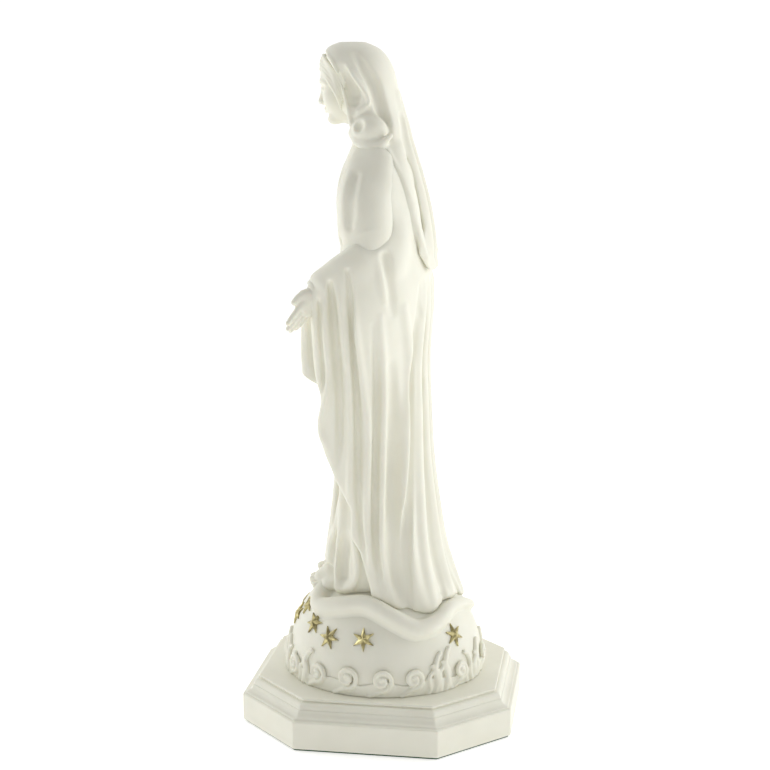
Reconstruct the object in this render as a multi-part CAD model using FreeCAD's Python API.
import FreeCAD, Part
import math
import os
from FreeCAD import Matrix, Rotation, Vector

# Standing madonna statue in cast composite marble, in millimetres.
# +Z is up and z = 0 is the surface that it stands on.  The figure faces -Y, so +X is its left.
# The origin is the centre of the underside of the felt pad.

# ---------------------------------------------------------------- driving dimensions
# Plinth: a rectangle with cut corners, hollow underneath.
BASE_LENGTH = 200.0          # along Y
BASE_WIDTH = 190.0           # along X
CORNER_CUT = 48.0            # taken off each side at each corner
PLINTH_HEIGHT = 33.9
SOCLE_HEIGHT = 20.8          # plain lowest tier of the plinth
PLINTH_WALL = 17.0
DECK_THICKNESS = 9.0
EDGE_ROUNDING = 1.0
BOARD_THICKNESS = 3.0
BOARD_LAND = 10.0            # width of the ledge that the closing board sits on
FELT_THICKNESS = 1.5
FELT_INSET = 2.0

# Mouldings above the socle, as (inset from the side, share of the rise from socle to deck).
COVE = ((2.4, 0.09), (5.7, 0.20), (7.2, 0.45))
OVOLO = ((8.0, 0.50), (9.0, 0.71), (11.8, 0.80))
GROOVE_INSET = 12.6
GROOVE_TOP = 0.86
RIM_INSET = 11.8

# Globe under the feet, and what is on it.
GLOBE_RADIUS = 73.0
GLOBE_SKIRT = 7.0            # upright band below the half sphere
GLOBE_WALL = 11.0
GLOBE_KEY_DEPTH = 2.5        # how far the globe's rim is let into the deck
CLOUD_HEIGHT = 25.0
CLOUD_RELIEF = 3.6
CLOUD_SCALLOPS = 18
STAR_RADIUS = 8.8
STAR_WAIST = 3.4             # radius at the notches between the star's points
STAR_EDGE = 1.2
STAR_APEX = 3.0
STAR_POINTS = 6
SERPENT_RADIUS = 6.8

# Figure: its outlines are given at this height, and one scale sets the real height.
OUTLINE_HEIGHT = 382.0
FIGURE_HEIGHT = 382.0        # from the crown of the dome to the top of the veil
HAIR_THICKNESS = 2.6
HAIR_SET_BACK = 2.0          # how far the cap of hair sits behind the middle of the skull
HAIR_DROP = 1.0
NECK_SPIGOT = 14.0           # length of neck let into the body

# Fixings.
ROD_DIAMETER = 8.0
ROD_REACH = 70.0             # length of rod inside the figure
ROD_TAIL = 3.0               # length of rod below the nut
WASHER_DIAMETER = 24.0
WASHER_THICKNESS = 2.0
NUT_ACROSS_FLATS = 13.0
NUT_THICKNESS = 6.5
PIN_DIAMETER = 3.0
PIN_LENGTH = 18.0
SCREW_DIAMETER = 3.0
SCREW_HEAD_DIAMETER = 6.0
SCREW_HEAD_DEPTH = 1.8
SCREW_LENGTH = 12.0

# Clearances between pieces that are put together.
BOARD_CLEARANCE = 0.5
BORE_CLEARANCE = 0.25
KEY_CLEARANCE = 0.3

# ---------------------------------------------------------------- levels worked out from these
UNDERSIDE = FELT_THICKNESS
DECK = UNDERSIDE + PLINTH_HEIGHT
POCKET_TOP = DECK - DECK_THICKNESS
DOME_MIDDLE = DECK + GLOBE_SKIRT
DOME_TOP = DOME_MIDDLE + GLOBE_RADIUS
SCALE = FIGURE_HEIGHT / OUTLINE_HEIGHT
FAR = 400.0                  # longer than any piece, for cutting tools

# ---------------------------------------------------------------- outlines of the figure
# Each row is height above the crown of the dome, front, back and half width.
TUNIC_ROWS = (
    (-42, -47, 44, 43), (0, -44, 34, 43), (38, -37, 30, 42), (85, -33, 27, 40), (125, -31, 25, 39),
    (167, -31, 25, 37), (204, -32, 25, 35), (235, -32, 26, 34), (259, -32, 26, 38), (277, -32, 25, 43),
    (290, -30, 23, 44), (300, -27, 19, 37), (308, -24, 14, 25), (314, -23, 8, 17))
MANTLE_ROWS = (
    (-42, -54, 66, 56), (-20, -52, 56, 52), (8, -48, 45, 52), (46, -50, 38, 53), (85, -58, 33, 57),
    (123, -66, 31, 63), (167, -70, 30, 71), (197, -70, 33, 76), (220, -66, 33, 76), (244, -52, 31, 70),
    (264, -36, 28, 63), (284, -22, 23.5, 55), (303, -14, 17, 42))
RECESS_ROWS = (
    (70, -90, 22, 38), (100, -90, 22, 42), (135, -90, 22, 49), (170, -90, 22, 55), (200, -90, 22, 59),
    (226, -90, 22, 57), (262, -90, 22, 44))
VEIL_ROWS = (
    (218, 18, 39, 34), (234, 8, 36, 41), (254, 0, 33, 48), (274, -8, 29, 52), (292, -16, 24, 49),
    (305, -22, 20, 41), (315, -25, 17, 34), (329, -30, 14, 28), (341, -38, 11, 26.5), (354, -44, 7.5, 26),
    (364, -46, 4, 24.5), (372, -45, 0, 21), (378, -41, -6, 15), (382, -32, -14, 7))
# Edges seen from the side, as (y, height above the crown of the dome).
MANTLE_FRONT_EDGE = (
    (-41, 222), (-40, 180), (-39, 150), (-35, 137), (-36, 125), (-38, 113), (-37, 102), (-29, 76), (-17, 52),
    (-18, 32), (-11, 21), (-3, -8), (-3, -60))
MANTLE_TOP_EDGE = ((-70, 208), (-41, 222), (-19, 237), (-4, 251), (2, 266), (4, 302), (60, 302))
VEIL_FRONT_EDGE = (
    (-46, 379), (-37, 371), (-30, 363), (-26, 351), (-23, 335), (-20, 318), (-12, 308), (6, 308), (18, 291),
    (25, 274), (30, 254), (29, 236), (35, 222), (60, 216))
HAIR_FRONT_EDGE = ((-47, 372), (-41, 365), (-34, 352), (-29, 338), (-23, 324), (0, 314))

HEAD_MIDDLE = (0, -23, 351)
HEAD_RADII = (18.5, 21.5, 26)
NECK_ROWS = ((300, -17, 5, 10.5), (318, -23, 2, 11), (336, -30, 0, 12))

SHOULDER = (36, -6, 288)
UPPER_ARM = (49, -7, 268)
ELBOW = (55, -4, 240)
FOREARM = (61, -21, 221)
WRIST = (67, -41, 211)
ARM_RADII = (14, 17, 16, 12, 8.5)
CUFF_OUTLINE = ((-24, 226), (-41, 219), (-49, 203), (-50, 180), (-49, 160), (-43, 149), (-34, 156), (-25, 186))
CUFF_INNER_FACE = 50
CUFF_THICKNESS = 9
HAND_DIRECTION = (0.50, -0.46, -0.73)
HAND_ACROSS = (0.35, -0.72, 0.55)
HAND_LENGTH = 37.0
PALM_HALF_WIDTH = 8.0
PALM_HALF_THICKNESS = 4.2
FINGER_RADIUS = 2.4
FOOT_HEEL = (14, -23, -13)
FOOT_LENGTH = 33.0
FOOT_HALF_WIDTH = 9.5
FOOT_HALF_HEIGHT = 6.5
TOE_RADII = (3.4, 2.8, 2.6, 2.4, 2.1)
FOOT_SPREAD = 6.0            # degrees that each foot turns outwards

# The serpent's way round the globe, as (azimuth in degrees from +X, degrees up).
SERPENT_WAY = (
    (-150, 36), (-136, 44), (-118, 58), (-92, 68), (-68, 58), (-56, 46), (-46, 40), (-28, 44), (-6, 47), (13, 40), (30, 32),
    (46, 34), (62, 39), (80, 38), (98, 31), (116, 27))
# Stars on the figure's left, as (azimuth in degrees from +X, degrees up); its right mirrors them.
STARS_LEFT = ((-77, 27), (-66, 37), (-46, 30), (-29, 25), (-5, 27), (58, 24))


# ---------------------------------------------------------------- helpers
def figure_point(x, y, height):
    """A point of the figure's outlines, in the statue's frame."""
    return Vector(x * SCALE, y * SCALE, DOME_TOP + height * SCALE)


def oval(height, front, back, half_width, points=16, fullness=0.86):
    """A closed level curve, a little squarer than an ellipse."""
    middle = (front + back) / 2
    half_depth = (back - front) / 2
    corners = []
    for step in range(points):
        turn = 2 * math.pi * step / points
        across = math.copysign(abs(math.cos(turn)) ** fullness, math.cos(turn))
        along = math.copysign(abs(math.sin(turn)) ** fullness, math.sin(turn))
        corners.append(figure_point(half_width * across, middle + half_depth * along, height))
    curve = Part.BSplineCurve()
    curve.interpolate(Points=corners, PeriodicFlag=True)
    return Part.Wire([curve.toShape()])


def loft(rows):
    """A solid through level ovals."""
    return Part.makeLoft([oval(*row) for row in rows], True, False)


def side_prism(outline):
    """The outline in the YZ plane, pushed right through the figure along X."""
    corners = [figure_point(0, y, height) - Vector(FAR / 2, 0, 0) for y, height in outline]
    face = Part.Face(Part.makePolygon(corners + corners[:1]))
    return face.extrude(Vector(FAR, 0, 0))


def in_front_of(edge):
    """Everything in front of an edge that runs from its top to its bottom."""
    return side_prism(list(edge) + [(-200, edge[-1][1]), (-200, 450), (edge[0][0], 450)])


def above(edge):
    """Everything above an edge that runs from the front to the back."""
    return side_prism(list(edge) + [(edge[-1][0], 450), (edge[0][0], 450)])


def ellipsoid(middle, radii):
    """An upright ellipsoid with three radii."""
    stretch = Matrix()
    stretch.scale(Vector(*radii))
    ball = Part.makeSphere(1.0).transformGeometry(stretch)
    ball.translate(middle)
    return ball


def rod_between(start, end, radius):
    """A round bar from one point to another."""
    return Part.makeCylinder(radius, (end - start).Length, start, end - start)


def largest(shape):
    """The main solid that a cut leaves."""
    return max(shape.Solids, key=lambda solid: solid.Volume)


def mirrored(shape):
    """The same piece on the figure's other side."""
    return shape.mirror(Vector(0, 0, 0), Vector(1, 0, 0))


def cut_all(shape, tools):
    """The shape with every tool taken out of it."""
    for tool in tools:
        shape = shape.cut(tool)
    return shape


# ---------------------------------------------------------------- base
def octagon(inset, z):
    """The plinth's plan at a level, moved in by an inset on all eight sides."""
    length = BASE_LENGTH / 2 - inset
    width = BASE_WIDTH / 2 - inset
    cut = CORNER_CUT - inset * (2 - math.sqrt(2))
    plan = [(width, length - cut), (width - cut, length)]
    corners = []
    for sx, sy, order in ((1, 1, 1), (-1, 1, -1), (-1, -1, 1), (1, -1, -1)):
        for x, y in plan[::order]:
            corners.append(Vector(sx * x, sy * y, z))
    return Part.makePolygon(corners + corners[:1])


def octagonal_prism(inset, bottom, top):
    """A block of the plinth's plan between two levels."""
    return Part.Face(octagon(inset, bottom)).extrude(Vector(0, 0, top - bottom))


def line(start, end):
    """A straight edge."""
    return Part.LineSegment(start, end).toShape()


def arc(start, middle, end):
    """A circular edge through three points."""
    return Part.Arc(start, middle, end).toShape()


def moulding_edges(reach):
    """One side's moulding, as edges in the XZ plane from the underside up to the deck."""
    socle = UNDERSIDE + SOCLE_HEIGHT

    def at(inset, level):
        return Vector(reach - inset, 0, level)

    def up(inset, share):
        return at(inset, socle + share * (DECK - socle))

    def rounded_corner(inset, level):
        soft = 0.3 * EDGE_ROUNDING
        foot = at(inset, level - EDGE_ROUNDING)
        head = at(inset + EDGE_ROUNDING, level)
        return foot, arc(foot, at(inset + soft, level - soft), head), head

    socle_foot, socle_corner, socle_head = rounded_corner(0, socle)
    rim_foot, rim_corner, rim_head = rounded_corner(RIM_INSET, DECK)
    cove = [up(*point) for point in COVE]
    ovolo = [up(*point) for point in OVOLO]
    ledge = at(COVE[0][0], socle)
    cove_ledge = up(OVOLO[0][0], COVE[-1][1])
    groove_foot = up(GROOVE_INSET, OVOLO[-1][1])
    groove_head = up(GROOVE_INSET, GROOVE_TOP)
    rim_underside = up(RIM_INSET, GROOVE_TOP)
    start = at(0, UNDERSIDE)
    return [
        line(start, socle_foot), socle_corner, line(socle_head, ledge), line(ledge, cove[0]), arc(*cove),
        line(cove[-1], cove_ledge), line(cove_ledge, ovolo[0]), arc(*ovolo), line(ovolo[-1], groove_foot),
        line(groove_foot, groove_head), line(groove_head, rim_underside), line(rim_underside, rim_foot),
        rim_corner, line(rim_head, Vector(0, 0, DECK)), line(Vector(0, 0, DECK), Vector(0, 0, UNDERSIDE)),
        line(Vector(0, 0, UNDERSIDE), start)]


def moulded_pair(reach, turn):
    """Two opposite moulded sides, long enough to be mitred with the others."""
    half = Part.Face(Part.Wire(moulding_edges(reach))).extrude(Vector(0, FAR, 0))
    half.translate(Vector(0, -FAR / 2, 0))
    other = half.mirror(Vector(0, 0, 0), Vector(1, 0, 0))
    pair = half.fuse(other).removeSplitter()
    pair.rotate(Vector(0, 0, 0), Vector(0, 0, 1), turn)
    return pair


def make_plinth(rod_bore, screws):
    corner_reach = (BASE_LENGTH / 2 + BASE_WIDTH / 2 - CORNER_CUT) / math.sqrt(2)
    body = moulded_pair(BASE_WIDTH / 2, 0)
    for reach, turn in ((BASE_LENGTH / 2, 90), (corner_reach, 45), (corner_reach, -45)):
        body = body.common(moulded_pair(reach, turn))
    pocket = octagonal_prism(PLINTH_WALL, UNDERSIDE, POCKET_TOP)
    rebate = octagonal_prism(PLINTH_WALL - BOARD_LAND, UNDERSIDE, UNDERSIDE + BOARD_THICKNESS)
    key = Part.makeCylinder(GLOBE_RADIUS + KEY_CLEARANCE, GLOBE_KEY_DEPTH, Vector(0, 0, DECK - GLOBE_KEY_DEPTH))
    core = Part.makeCylinder(GLOBE_RADIUS - GLOBE_WALL - KEY_CLEARANCE, GLOBE_KEY_DEPTH,
                             Vector(0, 0, DECK - GLOBE_KEY_DEPTH))
    return largest(cut_all(body, [pocket, rebate, key.cut(core), rod_bore, screws]))


def make_closing_board(screws):
    inset = PLINTH_WALL - BOARD_LAND + BOARD_CLEARANCE
    board = octagonal_prism(inset, UNDERSIDE, UNDERSIDE + BOARD_THICKNESS)
    return board.cut(screws)


def make_felt_pad():
    return octagonal_prism(FELT_INSET, 0, FELT_THICKNESS)


def make_board_screws():
    """Countersunk screws that run up through the board into the plinth's ledge."""
    screws = []
    ledge_x = BASE_WIDTH / 2 - PLINTH_WALL + BOARD_LAND / 2
    ledge_y = BASE_LENGTH / 2 - PLINTH_WALL + BOARD_LAND / 2
    for x, y in ((ledge_x, 0), (-ledge_x, 0), (0, ledge_y), (0, -ledge_y)):
        foot = Vector(x, y, UNDERSIDE)
        head = Part.makeCone(SCREW_HEAD_DIAMETER / 2, SCREW_DIAMETER / 2, SCREW_HEAD_DEPTH, foot)
        shank = Part.makeCylinder(SCREW_DIAMETER / 2, SCREW_LENGTH, foot)
        screws.append(head.fuse(shank).removeSplitter())
    return Part.makeCompound(screws)


# ---------------------------------------------------------------- globe and its relief
def dome(growth=0.0):
    """A half sphere on its upright band, or the same dome grown by a thickness."""
    radius = GLOBE_RADIUS + growth
    ball = Part.makeSphere(radius, Vector(0, 0, DOME_MIDDLE), Vector(0, 0, 1), 0, 90, 360)
    band = Part.makeCylinder(radius, GLOBE_SKIRT, Vector(0, 0, DECK))
    return ball.fuse(band).removeSplitter()


def dome_point(azimuth, elevation, lift=0.0):
    """A point on the dome, and the direction straight out of it there."""
    turn = math.radians(azimuth)
    up = math.radians(elevation)
    normal = Vector(math.cos(up) * math.cos(turn), math.cos(up) * math.sin(turn), math.sin(up))
    return Vector(0, 0, DOME_MIDDLE) + normal * (GLOBE_RADIUS + lift), normal


def make_globe(rod_bore):
    rim = Part.makeCylinder(GLOBE_RADIUS, GLOBE_KEY_DEPTH, Vector(0, 0, DECK - GLOBE_KEY_DEPTH))
    hollow = dome(-GLOBE_WALL)
    opening = Part.makeCylinder(GLOBE_RADIUS - GLOBE_WALL, GLOBE_KEY_DEPTH + 0.01,
                                Vector(0, 0, DECK - GLOBE_KEY_DEPTH))
    shell = dome().fuse(rim).removeSplitter()
    return largest(cut_all(shell, [hollow, opening, rod_bore]))


def make_cloud_band():
    """A scalloped collar round the globe's foot."""
    top = Part.makeBox(FAR, FAR, FAR, Vector(-FAR / 2, -FAR / 2, DECK + CLOUD_HEIGHT))
    band = dome(CLOUD_RELIEF).cut(dome()).cut(top)
    scallop_radius = math.pi * GLOBE_RADIUS / CLOUD_SCALLOPS * 0.42
    for step in range(CLOUD_SCALLOPS):
        turn = 2 * math.pi * step / CLOUD_SCALLOPS
        out = Vector(math.cos(turn), math.sin(turn), 0)
        start = Vector(0, 0, DECK + CLOUD_HEIGHT)
        band = band.cut(Part.makeCylinder(scallop_radius, FAR / 2, start, out))
    return largest(band)


def star(azimuth, elevation):
    """A star in relief with ridged points, its back deep enough to be cut to the dome."""
    depth = STAR_RADIUS
    rim = []
    for step in range(2 * STAR_POINTS):
        turn = math.pi * step / STAR_POINTS
        radius = STAR_WAIST if step % 2 else STAR_RADIUS
        rim.append((radius * math.cos(turn), radius * math.sin(turn)))
    back = [Vector(x, y, -depth) for x, y in rim]
    edge = [Vector(x, y, STAR_EDGE if step % 2 else STAR_EDGE / 2) for step, (x, y) in enumerate(rim)]
    apex = Vector(0, 0, STAR_APEX)
    faces = [Part.Face(Part.makePolygon(back + back[:1]))]
    for step in range(len(rim)):
        after = (step + 1) % len(rim)
        low = [back[step], back[after], edge[after]]
        high = [back[step], edge[after], edge[step]]
        facet = [edge[step], edge[after], apex]
        for corners in (low, high, facet):
            faces.append(Part.Face(Part.makePolygon(corners + corners[:1])))
    solid = Part.Solid(Part.makeShell(faces))
    place, normal = dome_point(azimuth, elevation)
    solid.Placement = FreeCAD.Placement(place, Rotation(Vector(0, 0, 1), normal))
    return solid


def make_gilded_stars(neighbours):
    places = list(STARS_LEFT)
    for azimuth, elevation in STARS_LEFT:
        places.append((180 - azimuth, elevation))
    ground = dome()
    stars = []
    for azimuth, elevation in places:
        stars.append(largest(cut_all(star(azimuth, elevation), [ground] + neighbours)))
    return Part.makeCompound(stars)


def rounded_path(points):
    """Straight runs joined by tangent arcs, as one wire."""
    edges = []
    start = points[0]
    for before, corner, after in zip(points, points[1:], points[2:]):
        back = before - corner
        ahead = after - corner
        trim = 0.45 * min(back.Length, ahead.Length)
        back.normalize()
        ahead.normalize()
        first = corner + back * trim
        last = corner + ahead * trim
        half_turn = (math.pi - back.getAngle(ahead)) / 2
        radius = trim / math.tan(half_turn)
        inward = back + ahead
        inward.normalize()
        depth = radius / math.cos(half_turn) - radius
        edges.append(Part.LineSegment(start, first).toShape())
        edges.append(Part.Arc(first, corner + inward * depth, last).toShape())
        start = last
    edges.append(Part.LineSegment(start, points[-1]).toShape())
    return Part.Wire(edges)


def make_serpent():
    """A round body that lies on the dome, with a blunt head and a tapered tail."""
    way = [dome_point(azimuth, elevation, SERPENT_RADIUS * 0.35)[0] for azimuth, elevation in SERPENT_WAY]
    path = rounded_path(way)
    ring = Part.Wire([Part.makeCircle(SERPENT_RADIUS, way[0], way[1] - way[0])])
    body = path.makePipeShell([ring], True, True)
    ahead = way[0] - way[1]
    ahead.normalize()
    head = Part.makeCone(SERPENT_RADIUS, SERPENT_RADIUS * 0.55, SERPENT_RADIUS * 2.2, way[0], ahead)
    tail_way = way[-1] - way[-2]
    tail_way.normalize()
    tail = Part.makeCone(SERPENT_RADIUS, 1.5, SERPENT_RADIUS * 3.2, way[-1], tail_way)
    return largest(body.fuse([head, tail]).removeSplitter().cut(dome()))


# ---------------------------------------------------------------- figure
def make_neck_and_head():
    skull = ellipsoid(figure_point(*HEAD_MIDDLE), [radius * SCALE for radius in HEAD_RADII])
    return skull.fuse(loft(NECK_ROWS)).removeSplitter()


def make_hair(head):
    radii = [(radius + HAIR_THICKNESS) * SCALE for radius in HEAD_RADII]
    cap = ellipsoid(figure_point(*HEAD_MIDDLE) + Vector(0, HAIR_SET_BACK, -HAIR_DROP) * SCALE, radii)
    return cap.cut(head).cut(in_front_of(HAIR_FRONT_EDGE))


def make_arm():
    """The dressed arm from the shoulder to the wrist, with its hanging cuff."""
    centres = [figure_point(*place) for place in (SHOULDER, UPPER_ARM, ELBOW, FOREARM, WRIST)]
    rings = []
    for step, centre in enumerate(centres):
        before = centres[max(step - 1, 0)]
        after = centres[min(step + 1, len(centres) - 1)]
        rings.append(Part.Wire([Part.makeCircle(ARM_RADII[step] * SCALE, centre, after - before)]))
    arm = Part.makeLoft(rings, True, False)
    corners = [figure_point(CUFF_INNER_FACE, y, height) for y, height in CUFF_OUTLINE]
    curve = Part.BSplineCurve()
    curve.interpolate(Points=corners, PeriodicFlag=True)
    cuff = Part.Face(Part.Wire([curve.toShape()])).extrude(Vector(CUFF_THICKNESS * SCALE, 0, 0))
    return arm.fuse(cuff).removeSplitter()


def hand_axes():
    """The wrist, the way that the fingers point, and the way across the palm to the thumb."""
    wrist = figure_point(*WRIST)
    along = Vector(*HAND_DIRECTION).normalize()
    across = Vector(*HAND_ACROSS)
    across = (across - along * across.dot(along)).normalize()
    return wrist, along, across


def make_hand():
    """A palm with four fingers side by side and a thumb that stands off."""
    wrist, along, across = hand_axes()
    flat = along.cross(across)
    palm_length = HAND_LENGTH * 0.52
    palm = ellipsoid(Vector(0, 0, 0), (PALM_HALF_WIDTH, PALM_HALF_THICKNESS, palm_length * 0.62))
    palm.Placement = FreeCAD.Placement(wrist + along * palm_length * 0.5, Rotation(across, flat, along, "ZXY"))
    pieces = []
    for step in range(4):
        side = (step - 1.5) * 0.5 * PALM_HALF_WIDTH
        reach = HAND_LENGTH * (0.93, 1.0, 0.97, 0.85)[step]
        knuckle = wrist + along * palm_length * 0.8 + across * side
        tip = wrist + along * reach + across * side * 1.15
        pieces.append(rod_between(knuckle, tip, FINGER_RADIUS))
        pieces.append(Part.makeSphere(FINGER_RADIUS, tip))
    thumb_root = wrist + along * palm_length * 0.35 + across * PALM_HALF_WIDTH * 0.6
    thumb_tip = wrist + along * palm_length * 1.05 + across * PALM_HALF_WIDTH * 1.5
    pieces.append(rod_between(thumb_root, thumb_tip, FINGER_RADIUS * 1.1))
    pieces.append(Part.makeSphere(FINGER_RADIUS * 1.1, thumb_tip))
    return largest(palm.fuse(pieces).removeSplitter())


def make_wrist_pin(growth=0.0):
    """The steel dowel between arm and hand, or the bore for it."""
    wrist, along, across = hand_axes()
    inward = (figure_point(*FOREARM) - wrist).normalize()
    start = wrist + inward * PIN_LENGTH / 2
    return rod_between(start, wrist - inward * PIN_LENGTH / 2, PIN_DIAMETER / 2 + growth)


def make_foot():
    """A bare forefoot with five toes, pointing forwards and down over the serpent."""
    heel = Vector(0, 0, 0)
    body = ellipsoid(heel + Vector(0, -FOOT_LENGTH / 2, 0), (FOOT_HALF_WIDTH, FOOT_LENGTH / 2, FOOT_HALF_HEIGHT))
    toes = []
    for step, radius in enumerate(TOE_RADII):
        side = FOOT_HALF_WIDTH * (-0.68 + 0.36 * step)
        reach = FOOT_LENGTH * (0.98 - 0.03 * step * step / 2)
        tip = Vector(side, -reach, -1.5)
        toes.append(rod_between(Vector(side * 0.85, -FOOT_LENGTH * 0.7, 0), tip, radius))
        toes.append(Part.makeSphere(radius, tip))
    foot = body.fuse(toes).removeSplitter()
    turned = Rotation(Vector(0, 0, 1), FOOT_SPREAD).multiply(Rotation(Vector(1, 0, 0), 6))
    foot.Placement = FreeCAD.Placement(figure_point(*FOOT_HEEL), turned)
    return foot


# ---------------------------------------------------------------- rod, washer and nut
def make_rod(growth=0.0):
    """The threaded rod through plinth, globe and body, or the bore for it."""
    bottom = POCKET_TOP - WASHER_THICKNESS - NUT_THICKNESS - ROD_TAIL
    return Part.makeCylinder(ROD_DIAMETER / 2 + growth, DOME_TOP + ROD_REACH - bottom, Vector(0, 0, bottom))


def make_rod_washer():
    level = Vector(0, 0, POCKET_TOP - WASHER_THICKNESS)
    disc = Part.makeCylinder(WASHER_DIAMETER / 2, WASHER_THICKNESS, level)
    return disc.cut(make_rod(BORE_CLEARANCE))


def make_rod_nut():
    level = POCKET_TOP - WASHER_THICKNESS - NUT_THICKNESS
    radius = NUT_ACROSS_FLATS / math.sqrt(3)
    corners = []
    for step in range(6):
        turn = math.pi * step / 3
        corners.append(Vector(radius * math.cos(turn), radius * math.sin(turn), level))
    block = Part.Face(Part.makePolygon(corners + corners[:1])).extrude(Vector(0, 0, NUT_THICKNESS))
    return block.cut(make_rod())


# ---------------------------------------------------------------- assembly
def build():
    rod_bore = make_rod(BORE_CLEARANCE)
    pin_bore = make_wrist_pin(BORE_CLEARANCE)
    screws = make_board_screws()
    ground = dome()
    clouds = make_cloud_band()
    serpent = make_serpent()

    left_hand_full = make_hand()
    left_arm = make_arm()
    left_hand = largest(left_hand_full.cut(left_arm).cut(pin_bore))
    left_foot = largest(cut_all(make_foot(), [ground, serpent]))
    right_foot = largest(cut_all(mirrored(make_foot()), [ground, serpent]))
    head = make_neck_and_head()

    tunic_full = loft(TUNIC_ROWS)
    arms = [left_arm, mirrored(left_arm)]
    left_sleeve = largest(cut_all(left_arm, [tunic_full, pin_bore]))
    feet = [left_foot, right_foot]
    tunic = largest(cut_all(tunic_full, [ground, serpent, head, rod_bore] + feet))

    openings = [loft(RECESS_ROWS), in_front_of(MANTLE_FRONT_EDGE), above(MANTLE_TOP_EDGE)]
    mantle = largest(cut_all(loft(MANTLE_ROWS), arms + openings + [tunic_full, ground, serpent]))

    hair = make_hair(head)
    veil_full = loft(VEIL_ROWS).cut(in_front_of(VEIL_FRONT_EDGE))
    veil = largest(cut_all(veil_full, [head, hair, tunic_full, mantle] + arms))
    hair = largest(hair.cut(tunic_full))

    return {
        "felt_pad": make_felt_pad(),
        "closing_board": make_closing_board(screws),
        "board_screws": screws,
        "plinth": make_plinth(rod_bore, screws),
        "globe": make_globe(rod_bore),
        "cloud_band": clouds,
        "gilded_stars": make_gilded_stars([serpent, clouds]),
        "serpent": serpent,
        "tunic": tunic,
        "mantle": mantle,
        "veil": veil,
        "head": head,
        "hair": hair,
        "left_sleeve": left_sleeve,
        "right_sleeve": mirrored(left_sleeve),
        "left_hand": left_hand,
        "right_hand": mirrored(left_hand),
        "left_wrist_pin": make_wrist_pin(),
        "right_wrist_pin": mirrored(make_wrist_pin()),
        "left_foot": left_foot,
        "right_foot": right_foot,
        "figure_rod": make_rod(),
        "rod_washer": make_rod_washer(),
        "rod_nut": make_rod_nut()}


os.makedirs("parts", exist_ok=True)
for node, shape in build().items():
    shape.exportStep("parts/" + node + ".step")
    print(node, len(shape.Solids), shape.isValid(), round(shape.Volume / 1000, 1), shape.BoundBox)
